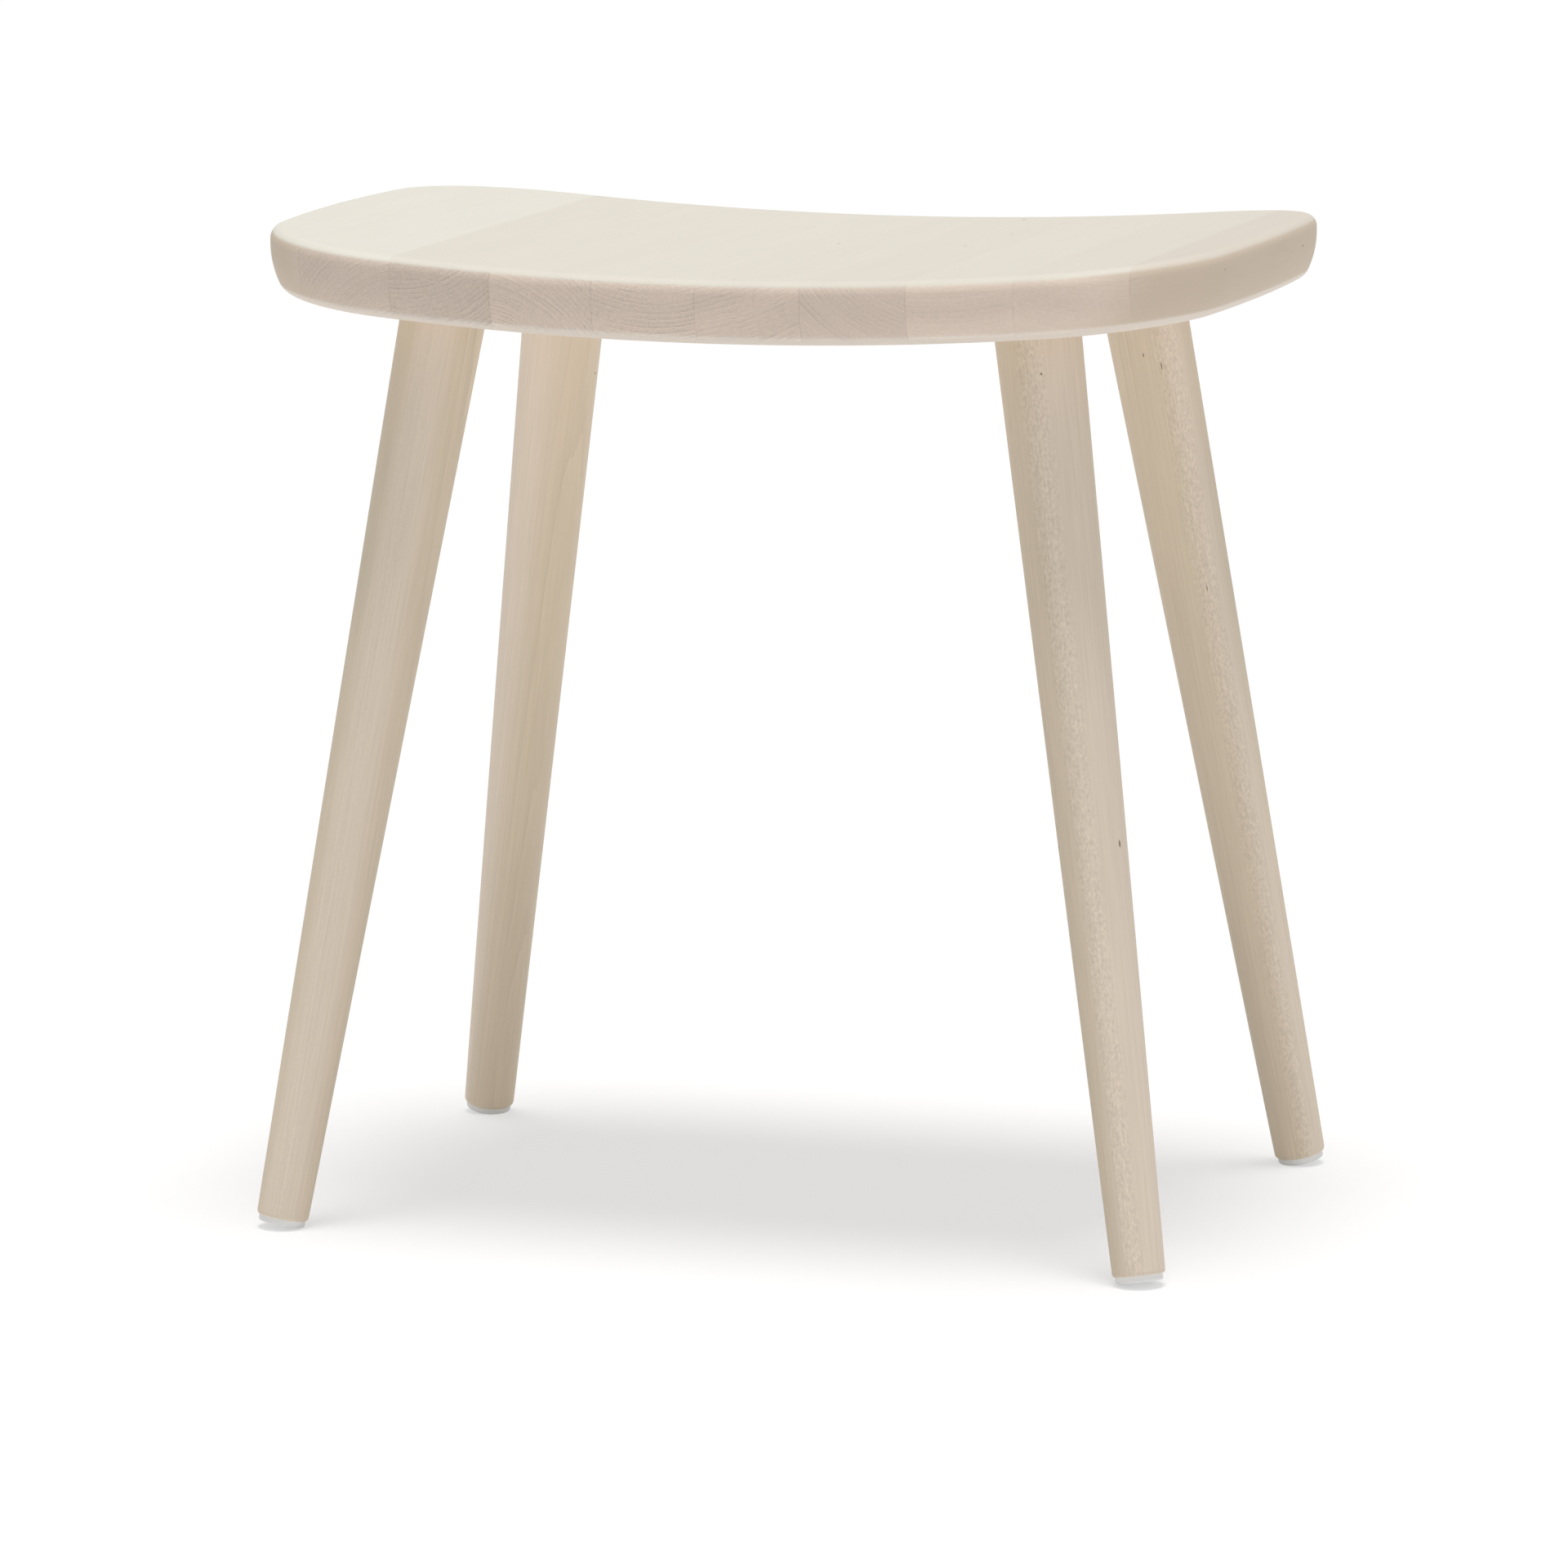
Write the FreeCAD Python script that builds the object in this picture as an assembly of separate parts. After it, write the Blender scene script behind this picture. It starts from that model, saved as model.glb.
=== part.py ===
import FreeCAD, Part
import math
import os

# A low four-legged stool in pale solid wood. The seat is a shallow saddle, glued up from staves
# that run from front to back, with a curved outline and an edge that curls in underneath. Four
# conical legs splay out both ways. Each is housed in the underside of the seat with a turned
# tenon, and stands on a round glide.
#
# +X is the width of the stool, +Y points to its back and +Z is up. The origin is on the floor
# under the middle of the seat. All sizes are in millimetres.

# Overall sizes
OVERALL_HEIGHT = 450.0  # floor to the highest line of the seat, just inside its two ends
SEAT_LENGTH = 451.0
SEAT_DEPTH = 290.0

# Seat outline from above: eight arcs, each tangent to the next
SIDE_BOW_RADIUS = 2400.0
END_BOW_RADIUS = 900.0
CORNER_RADIUS = 75.0

# Seat section
SEAT_THICKNESS = 28.5
SADDLE_RADIUS = 1850.0  # the hollow of the top, one cylinder whose axis lies along Y
TOP_EDGE_RADIUS = 6.0
UPRIGHT_BAND = 2.5  # least height of the upright part of the edge, below the rounded top
UNDERCUT_RADIUS = 37.5  # below the band the edge curls in under the seat on this arc
UNDERCUT_LIMIT = math.radians(70)  # how far round the undercut may turn before the bottom edge
BOTTOM_EDGE_RADIUS = 6.5
EDGE_FLATNESS = 0.16  # the edge is worked as narrow bands: how far one may miss its true arc

# Staves: equal strips, glued to a panel that is longer than the seat before it is cut to shape
STAVE_COUNT = 10
PANEL_ALLOWANCE = 29.0  # how much longer the glued panel is than the finished seat
PANEL_SHIFT = 1.0  # how far the panel's middle lies to the right of the seat's middle

# Legs
FOOT_SPREAD_X = 404.0  # between the leg axes where they reach the floor
FOOT_SPREAD_Y = 272.0
SOCKET_SPREAD_X = 277.0  # between the leg axes where they reach the underside of the seat
SOCKET_SPREAD_Y = 164.0
LEG_TOP_DIAMETER = 38.5
LEG_FOOT_DIAMETER = 23.5
FOOT_EDGE_BREAK = 0.6  # small chamfer round the leg's lower end

# Housed tenon joint between leg and seat
TENON_DIAMETER = 28.0
TENON_CHAMFER = 1.5
HOUSING_MIN_DEPTH = 1.0  # how deep the full leg is let in where its housing is shallowest
SOCKET_COVER = 6.0  # wood left between the socket and the top of the seat
GLUE_CLEARANCE = 0.1  # between round wood and its hole, measured on the radius
GLUE_WELL = 1.0  # free depth beyond the end of the tenon

# Glides
GLIDE_DIAMETER = 21.0
GLIDE_THICKNESS = 3.0
BEARING_FLAT_DEPTH = 0.3  # how far the glide's low edge is worn flat where it bears

# Room that a cutting body gets past the surface that it cuts through
OVERCUT = 10.0

# Construction of the seat's skin
ARC_POINTS = 6  # points that a level line round the seat is drawn through, on each outline arc
SEWING_TOLERANCE = 0.05

CORNERS = {
    "front_left": (-1, -1),
    "front_right": (1, -1),
    "rear_left": (-1, 1),
    "rear_right": (1, 1),
}

# Height of the saddle cylinder's axis. It puts the highest point of the rounded end edge at the
# overall height.
END_BALL_X = SEAT_LENGTH / 2 - TOP_EDGE_RADIUS
END_BALL_DROP = math.sqrt((SADDLE_RADIUS + TOP_EDGE_RADIUS) ** 2 - END_BALL_X**2)
SADDLE_AXIS_Z = OVERALL_HEIGHT - TOP_EDGE_RADIUS + END_BALL_DROP
UNDERSIDE_RADIUS = SADDLE_RADIUS + SEAT_THICKNESS

STAVE_WIDTH = (SEAT_LENGTH + PANEL_ALLOWANCE) / STAVE_COUNT
PANEL_LEFT = PANEL_SHIFT - STAVE_WIDTH * STAVE_COUNT / 2


def saddle_z(radius, x):
    """Height at x of the saddle surface with this radius."""
    return SADDLE_AXIS_Z - math.sqrt(radius**2 - x**2)


def outline_arcs():
    """The outline's arcs, counter-clockwise from the right-hand end.

    Each is its centre's x and y, its radius, and its first and last angle.
    """
    end_x = SEAT_LENGTH / 2 - END_BOW_RADIUS
    side_y = SEAT_DEPTH / 2 - SIDE_BOW_RADIUS
    # The corner's centre lies CORNER_RADIUS inside both bows: where two circles meet.
    to_end = END_BOW_RADIUS - CORNER_RADIUS
    to_side = SIDE_BOW_RADIUS - CORNER_RADIUS
    span = math.hypot(end_x, side_y)
    along = (to_end**2 - to_side**2 + span**2) / (2 * span)
    across = math.sqrt(to_end**2 - along**2)
    x = end_x - (along * end_x + across * side_y) / span
    y = (along * side_y - across * end_x) / span
    end_angle = math.atan2(y, x - end_x)
    side_angle = math.atan2(y - side_y, x)
    half = math.pi
    full = 2 * math.pi
    return [
        (end_x, 0, END_BOW_RADIUS, -end_angle, end_angle),
        (x, y, CORNER_RADIUS, end_angle, side_angle),
        (0, side_y, SIDE_BOW_RADIUS, side_angle, half - side_angle),
        (-x, y, CORNER_RADIUS, half - side_angle, half - end_angle),
        (-end_x, 0, END_BOW_RADIUS, half - end_angle, half + end_angle),
        (-x, -y, CORNER_RADIUS, half + end_angle, half + side_angle),
        (0, -side_y, SIDE_BOW_RADIUS, half + side_angle, full - side_angle),
        (x, -y, CORNER_RADIUS, full - side_angle, full - end_angle),
    ]


def edge_ring(inset, depth):
    """Closed line round the seat, this far inside the outline and this deep below the saddle."""
    points = []
    lengths = []
    length = 0
    for centre_x, centre_y, radius, first, last in outline_arcs():
        for index in range(ARC_POINTS):
            turn = (last - first) * index / ARC_POINTS
            x = centre_x + (radius - inset) * math.cos(first + turn)
            y = centre_y + (radius - inset) * math.sin(first + turn)
            points.append(FreeCAD.Vector(x, y, saddle_z(SADDLE_RADIUS + depth, x)))
            lengths.append(length + radius * turn)
        length += radius * (last - first)
    lengths.append(length)
    curve = Part.BSplineCurve()
    curve.interpolate(Points=points, PeriodicFlag=True, Parameters=lengths)
    return curve.toShape()


def edge_arc(inset, depth, radius, first, last):
    """Points along an arc of the edge's section, as pairs of inset and depth.

    The arc's centre comes first. Angles count from straight outward, downward positive.
    """
    widest_step = 2 * math.acos(1 - EDGE_FLATNESS / radius)
    steps = math.ceil((last - first) / widest_step)
    angles = [first + (last - first) * step / steps for step in range(steps + 1)]
    return [(inset - radius * math.cos(a), depth + radius * math.sin(a)) for a in angles]


def edge_section():
    """Section of the seat's edge from its top surface down to its underside."""
    bottom_centre = SEAT_THICKNESS - BOTTOM_EDGE_RADIUS
    radius_change = UNDERCUT_RADIUS - BOTTOM_EDGE_RADIUS
    free_drop = bottom_centre - TOP_EDGE_RADIUS - UPRIGHT_BAND
    turn = math.asin(min(free_drop / radius_change, math.sin(UNDERCUT_LIMIT)))
    undercut_start = bottom_centre - radius_change * math.sin(turn)
    bottom_inset = UNDERCUT_RADIUS - radius_change * math.cos(turn)
    top = edge_arc(TOP_EDGE_RADIUS, TOP_EDGE_RADIUS, TOP_EDGE_RADIUS, -math.pi / 2, 0)
    undercut = edge_arc(UNDERCUT_RADIUS, undercut_start, UNDERCUT_RADIUS, 0, turn)
    bottom = edge_arc(bottom_inset, bottom_centre, BOTTOM_EDGE_RADIUS, turn, math.pi / 2)
    return top + undercut + bottom[1:]


def saddle_face(radius, ring):
    """The part of the saddle cylinder with this radius that a closed line on it encloses."""
    cylinder = Part.Cylinder()
    cylinder.Center = FreeCAD.Vector(0, 0, SADDLE_AXIS_Z)
    cylinder.Axis = FreeCAD.Vector(0, 1, 0)
    cylinder.Radius = radius
    face = Part.Face(cylinder, Part.Wire([ring]))
    face.validate()
    return face


def seat_blank():
    """The whole seat before its sockets are bored: top, underside and the bands between."""
    rings = [edge_ring(inset, depth) for inset, depth in edge_section()]
    faces = [Part.makeRuledSurface(upper, lower) for upper, lower in zip(rings, rings[1:])]
    faces.append(saddle_face(SADDLE_RADIUS, rings[0]))
    faces.append(saddle_face(UNDERSIDE_RADIUS, rings[-1]))
    skin = Part.Compound(faces)
    skin.sewShape(SEWING_TOLERANCE)
    return Part.Solid(skin.Shells[0])


# Each leg is drawn upright, with its axis on Z and z = 0 where the axis reaches the floor. These
# are distances along that axis.
LEG_RUN_X = (FOOT_SPREAD_X - SOCKET_SPREAD_X) / 2
LEG_RUN_Y = (FOOT_SPREAD_Y - SOCKET_SPREAD_Y) / 2
LEG_RISE = saddle_z(UNDERSIDE_RADIUS, SOCKET_SPREAD_X / 2)
LEG_REACH = math.sqrt(LEG_RUN_X**2 + LEG_RUN_Y**2 + LEG_RISE**2)  # floor to underside
LEAN = math.acos(LEG_RISE / LEG_REACH)

# The angle between the leg and a line square to the underside sets how skew the joint is.
NORMAL_X = SOCKET_SPREAD_X / 2 / UNDERSIDE_RADIUS
NORMAL_Z = (SADDLE_AXIS_Z - LEG_RISE) / UNDERSIDE_RADIUS
JOINT_SKEW = math.acos((LEG_RUN_X * NORMAL_X + LEG_RISE * NORMAL_Z) / LEG_REACH)
HOUSING_RADIUS = LEG_TOP_DIAMETER / 2 + GLUE_CLEARANCE
SOCKET_RADIUS = TENON_DIAMETER / 2 + GLUE_CLEARANCE
HOUSING_RIM = HOUSING_RADIUS * math.tan(JOINT_SKEW)  # half the rim's height difference
SHOULDER = LEG_REACH + HOUSING_RIM + HOUSING_MIN_DEPTH
SEAT_TOP = LEG_REACH + SEAT_THICKNESS / math.cos(JOINT_SKEW)
SOCKET_END = SEAT_TOP - SOCKET_RADIUS * math.tan(JOINT_SKEW) - SOCKET_COVER
TENON_END = SOCKET_END - GLUE_WELL

# The glide bears on the lowest part of its bottom edge, which is worn flat at floor level.
GLIDE_EDGE_DROP = GLIDE_DIAMETER / 2 * math.sin(LEAN)
GLIDE_BOTTOM = (GLIDE_EDGE_DROP - BEARING_FLAT_DEPTH) / math.cos(LEAN)
FOOT_END = GLIDE_BOTTOM + GLIDE_THICKNESS


def turned(points):
    """Solid turned about Z from a closed profile of (radius, height) points."""
    corners = [FreeCAD.Vector(radius, 0, height) for radius, height in points]
    profile = Part.makePolygon(corners + corners[:1])
    axis = FreeCAD.Vector(0, 0, 1)
    return Part.Face(profile).revolve(FreeCAD.Vector(0, 0, 0), axis, 360)


def on_leg_axis(shape, corner):
    """The shape, moved from the upright drawing position onto the leg axis at a corner."""
    side_x, side_y = CORNERS[corner]
    foot = FreeCAD.Vector(side_x * FOOT_SPREAD_X / 2, side_y * FOOT_SPREAD_Y / 2, 0)
    axis = FreeCAD.Vector(-side_x * LEG_RUN_X, -side_y * LEG_RUN_Y, LEG_RISE)
    placed = shape.copy()
    placed.Placement = FreeCAD.Placement(foot, FreeCAD.Rotation(FreeCAD.Vector(0, 0, 1), axis))
    return placed


def joint_cutter():
    """What the drill takes out of the seat for one leg: the wide housing, then the socket."""
    return turned([
        (0, LEG_REACH - HOUSING_RIM - OVERCUT),
        (HOUSING_RADIUS, LEG_REACH - HOUSING_RIM - OVERCUT),
        (HOUSING_RADIUS, SHOULDER),
        (SOCKET_RADIUS, SHOULDER),
        (SOCKET_RADIUS, SOCKET_END),
        (0, SOCKET_END),
    ])


def seat_staves():
    """The staves by node name, cut from the finished seat along its glue lines."""
    seat = seat_blank().cut([on_leg_axis(joint_cutter(), corner) for corner in CORNERS])
    staves = {}
    for index in range(STAVE_COUNT):
        near_corner = FreeCAD.Vector(PANEL_LEFT + index * STAVE_WIDTH, -SEAT_DEPTH / 2 - OVERCUT, 0)
        strip = Part.makeBox(STAVE_WIDTH, SEAT_DEPTH + 2 * OVERCUT, OVERALL_HEIGHT + OVERCUT, near_corner)
        staves[f"seat_stave_{index + 1:02d}"] = seat.common(strip)
    return staves


def leg():
    """One leg: a cone, then a parallel stretch that is let into the seat, then the tenon."""
    foot_radius = LEG_FOOT_DIAMETER / 2
    top_radius = LEG_TOP_DIAMETER / 2
    tenon_radius = TENON_DIAMETER / 2
    return turned([
        (0, FOOT_END),
        (foot_radius - FOOT_EDGE_BREAK, FOOT_END),
        (foot_radius, FOOT_END + FOOT_EDGE_BREAK),
        (top_radius, LEG_REACH - HOUSING_RIM),
        (top_radius, SHOULDER),
        (tenon_radius, SHOULDER),
        (tenon_radius, TENON_END - TENON_CHAMFER),
        (tenon_radius - TENON_CHAMFER, TENON_END),
        (0, TENON_END),
    ])


def glide():
    """One glide before its bearing flat: a plain disc on the leg's lower end."""
    radius = GLIDE_DIAMETER / 2
    return turned([(0, GLIDE_BOTTOM), (radius, GLIDE_BOTTOM), (radius, FOOT_END), (0, FOOT_END)])


def glide_on_floor(corner):
    """The glide at a corner, with its low edge cut flat at floor level."""
    below_floor = Part.makeBox(
        FOOT_SPREAD_X + SEAT_LENGTH,
        FOOT_SPREAD_Y + SEAT_DEPTH,
        OVERCUT,
        FreeCAD.Vector(-(FOOT_SPREAD_X + SEAT_LENGTH) / 2, -(FOOT_SPREAD_Y + SEAT_DEPTH) / 2, -OVERCUT),
    )
    return on_leg_axis(glide(), corner).cut(below_floor)


def build():
    """Every node of the stool, by name."""
    nodes = seat_staves()
    for corner in CORNERS:
        nodes[f"leg_{corner}"] = on_leg_axis(leg(), corner)
        nodes[f"glide_{corner}"] = glide_on_floor(corner)
    return nodes


os.makedirs("parts", exist_ok=True)
for node, shape in build().items():
    shape.exportStep(f"parts/{node}.step")
    print(f"{node}: {len(shape.Solids)} solid, {shape.Volume / 1000:.1f} cm3, valid {shape.isValid()}")
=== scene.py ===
import math

import bmesh
import bpy
from mathutils import Matrix, Vector


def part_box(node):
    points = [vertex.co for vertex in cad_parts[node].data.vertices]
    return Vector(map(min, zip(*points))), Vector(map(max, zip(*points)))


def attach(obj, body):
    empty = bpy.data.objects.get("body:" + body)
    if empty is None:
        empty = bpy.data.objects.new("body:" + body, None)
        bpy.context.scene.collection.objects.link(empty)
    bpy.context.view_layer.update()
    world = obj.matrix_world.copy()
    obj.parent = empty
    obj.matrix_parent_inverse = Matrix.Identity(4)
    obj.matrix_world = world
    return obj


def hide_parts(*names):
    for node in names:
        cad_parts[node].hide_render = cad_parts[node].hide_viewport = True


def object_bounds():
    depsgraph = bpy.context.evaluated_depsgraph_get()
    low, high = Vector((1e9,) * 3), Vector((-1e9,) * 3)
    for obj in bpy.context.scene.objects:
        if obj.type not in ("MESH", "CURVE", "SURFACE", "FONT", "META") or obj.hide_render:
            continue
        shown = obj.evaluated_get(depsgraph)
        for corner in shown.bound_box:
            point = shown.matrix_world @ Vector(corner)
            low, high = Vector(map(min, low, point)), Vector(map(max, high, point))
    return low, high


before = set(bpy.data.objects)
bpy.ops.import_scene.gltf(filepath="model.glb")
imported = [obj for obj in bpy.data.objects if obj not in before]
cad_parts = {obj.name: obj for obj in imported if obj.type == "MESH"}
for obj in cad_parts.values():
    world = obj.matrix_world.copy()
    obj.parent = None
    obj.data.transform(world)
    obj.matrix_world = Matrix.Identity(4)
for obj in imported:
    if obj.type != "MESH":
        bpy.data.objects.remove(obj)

bl_info = {
    "name": "Low birch stool",
    "version": (1, 0, 0),
    "blender": (4, 5, 0),
    "location": "View3D > Sidebar > Stool",
    "description": "Builds a low stool with a staved saddle seat, its finishes and its studio",
    "category": "Object",
}

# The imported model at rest. Lengths are in metres. Seen from the front, +X is right and +Y is away.
CAD_LOW, CAD_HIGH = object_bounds()
STAVES = sorted(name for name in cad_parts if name.startswith("seat_stave_"))
CORNERS = {"front_left": (-1, -1), "front_right": (1, -1), "rear_left": (-1, 1), "rear_right": (1, 1)}
BODY = "root"
MM = 0.001

# How finely a stave is divided: down its edge, from back to front on its faces, and in width
TOP_EDGE_STEPS = 12
UNDERCUT_STEPS = 8
BOTTOM_EDGE_STEPS = 8
FACE_ROWS = (0.99, 0.8, 0.55, 0.25, -0.25, -0.55, -0.8, -0.99)
MIDDLE_COLUMNS = 13
END_COLUMNS = 73
# Beyond this share of the width, only the last column is left
LAST_COLUMN = 0.9999
# How finely the turned pieces are divided: up their lower edges and round their axes
FOOT_EDGE_STEPS = 8
ROUND_SIDES = 96
NAIL_SIDES = 32
# Points nearer than this are one, and a fold sharper than this is a hard edge
SAME_POINT = 1e-6
HARD_EDGE = math.radians(40)

# Each stave's log: where the heart of its growth rings lies from the middle of the stave's front
# end, to the right and up, in millimetres; how much paler than average its end grain is; how far
# its top goes from cream (0) to warm cream (1); and how strongly its rings show.
STAVE_LOGS = {
    "seat_stave_01": (60, -46, 0.0, 0.0, 0.8),
    "seat_stave_02": (36, -46, -0.05, 0.0, 1.0),
    "seat_stave_03": (-22, 62, -0.09, 0.42, 1.1),
    "seat_stave_04": (-32, -48, 0.0, 0.4, 1.3),
    "seat_stave_05": (4, 68, 0.01, 0.38, 1.4),
    "seat_stave_06": (-60, 150, 0.02, 0.42, 1.0),
    "seat_stave_07": (42, 60, 0.0, 0.5, 0.75),
    "seat_stave_08": (-16, 150, 0.08, 0.45, 0.5),
    "seat_stave_09": (30, 170, 0.08, 0.55, 0.35),
    "seat_stave_10": (-40, 140, -0.02, 1.0, 0.5),
}
# Each leg's log: how far off its heart lies in millimetres and at which bearing round the leg, how
# much the grain runs out along the leg, the pinkish band's middle and half width, how much paler
# the leg is than average, and how strong its ray flecks are.
LEG_LOGS = {
    "front_left": (70, 66, 0.004, 0, 8, 0.02, 0.015),
    "front_right": (62, -31, 0.004, 5, 10, -0.01, 0.08),
    "rear_left": (34, 102, 0.04, -9, 9, 0.11, 0.02),
    "rear_right": (58, 70, 0.004, -8, 5, 0.03, 0.08),
}
# Dark marks of pith and small knots: a point on the piece, then length and width, in millimetres
MARKS = {
    "seat_stave_05": ((-19, 38.5, 437.1, 3, 0.5),),
    "seat_stave_06": ((15.1, 16.5, 437, 8, 0.6), (16.5, -134.7, 437.1, 2, 0.8)),
    "seat_stave_07": ((69.6, 125.9, 438.3, 6, 0.9), (77.4, 9, 438.6, 8, 0.5), (83.1, 61.9, 438.8, 5, 0.6)),
    "seat_stave_10": ((224.1, 46, 439.2, 4, 1), (222.1, -76.3, 441.5, 2, 0.6)),
    "leg_front_right": (
        (186.7, -116.8, 192.6, 4.5, 1.6), (159.7, -118.8, 190.1, 3, 1.1), (146.5, -102.7, 396.2, 1.5, 1.2)
    ),
    "leg_rear_left": ((-127.4, 87.6, 364.6, 2, 1.3),),
    "leg_rear_right": (
        (151.8, 69.6, 379.8, 5, 0.7), (144, 66.9, 384.7, 2.5, 0.8), (169.1, 86.1, 276.2, 4, 0.6)
    ),
}
# How much further along its log each stave is cut than the one before
LOG_STEP = 0.37
# How far the growth rings wander in the staves and in the legs
STAVE_WANDER = 5 * MM
LEG_WANDER = 6 * MM
# Where the pinkish growth turns to tan: from inside its half width to outside it, in millimetres
PINK_FADE = (-4, 5)

# Waves per metre of each noise, across and along the log. The ring ripple's are per ring, per
# radian and per metre.
SCALES = {
    "broad wander": (24, 24, 2.4),
    "fine wander": (230, 230, 12),
    "finest wander": (750, 750, 25),
    "ring patches": (90, 90, 8),
    "ring ripple": (3.5, 55, 30),
    "fibre": (1100, 1100, 14),
    "clouds": (60, 60, 14),
    "ray dashes": (900, 900, 520),
    "fleck cells": (70, 70, 26),
    "glue gaps": (200, 200, 200),
    "plastic": (1800, 1800, 1800),
    "zinc": (900, 900, 900),
}
# Where the value behind each effect starts to count, and where it counts in full
LIMITS = {
    "ring patches": (-0.15, 0.2),
    "quartered": (0.9, 0.985),
    "ray dashes": (0.04, 0.12),
    "fleck cells": (0.85, 0.9),
    "fleck size": (0.01, 0.035),
    "mark size": (0.2, 0.5),
    "glue gaps": (-0.2, 0.15),
    "end grain": (0.66, 0.9),
    # The top and underside limits pick a colour by how far a face points up or down, which paints shade on
    # the sides and underside
    "top": (0.44, 0.75),
    "underside": (0.4, 0.5),
}
# A noise texture's values lie round this one
NOISE_MIDDLE = 0.5

# The growth rings: how much finer wanders add to the broad one, waves per ring in their spacing
# and in their tone, how many rings the spacing strays, how sharply a ring ends dark and starts
# pale, how strong that start is, and how far the rings fade in patches
FINER_WANDERS = {"fine wander": 0.2, "finest wander": 0.06}
SPACING_WAVES = 0.3
TONE_WAVES = 0.19
SPACING_STRAY = 2
LATE_POWER = 5
EARLY_POWER = 6
EARLY_STRENGTH = 0.6
PATCH_FADE = 0.75

# How much each part of the grain shades the wood: along the staves, on their ends and on the legs
ALONG_SHADE = {"Fibre": -0.04, "Clouds": -0.04, "Late Wood": -0.012, "Tone": -0.02}
END_RINGS = {"Late Wood": -0.19, "Ripple": -0.22}
END_SHADE = {"Fibre": -0.18, "Clouds": -0.05, "Tone": -0.1}
LEG_SHADE = {"Fibre": -0.18, "Clouds": -0.09, "Late Wood": -0.07, "Tone": -0.06}
# How much the grain roughens the wood and raises it
STAVE_ROUGHNESS = {"Fibre": 0.15}
END_ROUGHNESS = 0.08
LEG_ROUGHNESS = {"Fibre": 0.15, "Rays": -0.05}
STAVE_RELIEF = {"Fibre": 0.5}
END_RELIEF = {"Late Wood": -0.5}
LEG_RELIEF = {"Fibre": 0.6, "Rays": 0.3}
# How strong the bump of each finish is, and how deep
STAVE_BUMP = (0.3, 0.1 * MM)
LEG_BUMP = (0.3, 0.08 * MM)
PLASTIC_BUMP = (0.2, 0.05 * MM)
# How strongly flecks and glue lines show along the grain and across it, and dark marks anywhere
FLECK_STRENGTH = (0.35, 0.25)
GLUE_STRENGTH = (0.03, 0.23)
MARK_STRENGTH = 0.9
# How wide a glue line is and how far it fades in its gaps, and how much oiled wood reflects
GLUE_WIDTH = 0.3 * MM
GLUE_FADE = 0.7
WOOD_SPECULAR = 0.3
# The speckle of the plastic and the zinc: its detail, how much it shades the colour, the roughness
# and how much it changes that
PLASTIC_SPECKLE = (2, 0.05, 0.45, 0.2)
ZINC_SPECKLE = (3, 0.2, 0.42, 0.3)

# The photograph's camera: its place round the stool and above it, its roll, and where it aims
CAMERA_AZIMUTH = math.radians(18.349)
CAMERA_ELEVATION = math.radians(9.613)
CAMERA_ROLL = math.radians(-0.232)
CAMERA_AIM = Vector((-0.00654, 0, 0.1906))
SENSOR_WIDTH = 36
# Each lamp's strength setting, its spread in degrees, and the direction that it stands in
LAMPS = {
    "lamp_above": ("above", 20, (0.03, -0.053, 1)),
    "side_fill": ("side", 70, (1, -0.5, 0.3)),
}
# How far the floor reaches each way
FLOOR_REACH = 40


class Field:
    """The value of a socket in a node tree, to reckon with as with a number."""

    def __init__(self, tree, socket):
        self.tree = tree
        self.socket = socket

    def calc(self, operation, *others):
        """The result of a math node on this value and others."""
        node = self.tree.nodes.new("ShaderNodeMath")
        node.operation = operation
        for socket, value in zip(node.inputs, (self, *others)):
            join(self.tree, value, socket)
        return Field(self.tree, node.outputs[0])

    def __add__(self, other):
        return self.calc("ADD", other)

    def __sub__(self, other):
        return self.calc("SUBTRACT", other)

    def __rsub__(self, other):
        return self.calc("MULTIPLY", -1) + other

    def __mul__(self, other):
        return self.calc("MULTIPLY", other)

    def __truediv__(self, other):
        return self.calc("DIVIDE", other)

    def __pow__(self, other):
        return self.calc("POWER", other)

    def root(self):
        """The square root, with values below 0 taken as 0."""
        return self.calc("MAXIMUM", 0).calc("SQRT")

    def between(self, low, high):
        """0 below low and 1 above high, with a soft step from one to the other."""
        node = self.tree.nodes.new("ShaderNodeMapRange")
        node.interpolation_type = "SMOOTHSTEP"
        for name, value in (("Value", self), ("From Min", low), ("From Max", high)):
            join(self.tree, value, node.inputs[name])
        return Field(self.tree, node.outputs["Result"])


def join(tree, value, socket):
    """Link a field or an output to a socket, or write a plain value into it."""
    if isinstance(value, Field):
        value = value.socket
    if isinstance(value, bpy.types.NodeSocket):
        tree.links.new(value, socket)
    else:
        socket.default_value = value


def place(tree, kind, inputs=(), **settings):
    """A new node, with its settings made and its inputs joined or filled by name or number."""
    node = tree.nodes.new(kind)
    for name, value in settings.items():
        setattr(node, name, value)
    for key, value in dict(inputs).items():
        join(tree, value, node.inputs[key])
    return node


def attribute(tree, name):
    """A named attribute of the points, as a field."""
    node = place(tree, "GeometryNodeInputNamedAttribute", {"Name": name}, data_type="FLOAT")
    return Field(tree, node.outputs[0])


def parts_of(tree, vector):
    """The X, Y and Z of a vector, as fields."""
    node = place(tree, "ShaderNodeSeparateXYZ", {0: vector})
    return [Field(tree, socket) for socket in node.outputs]


def combined(tree, x, y, z):
    """The vector of three values."""
    return place(tree, "ShaderNodeCombineXYZ", {"X": x, "Y": y, "Z": z}).outputs[0]


def vector_math(tree, operation, *vectors):
    """A vector math node that reckons with one or two vectors."""
    return place(tree, "ShaderNodeVectorMath", dict(enumerate(vectors)), operation=operation)


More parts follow.
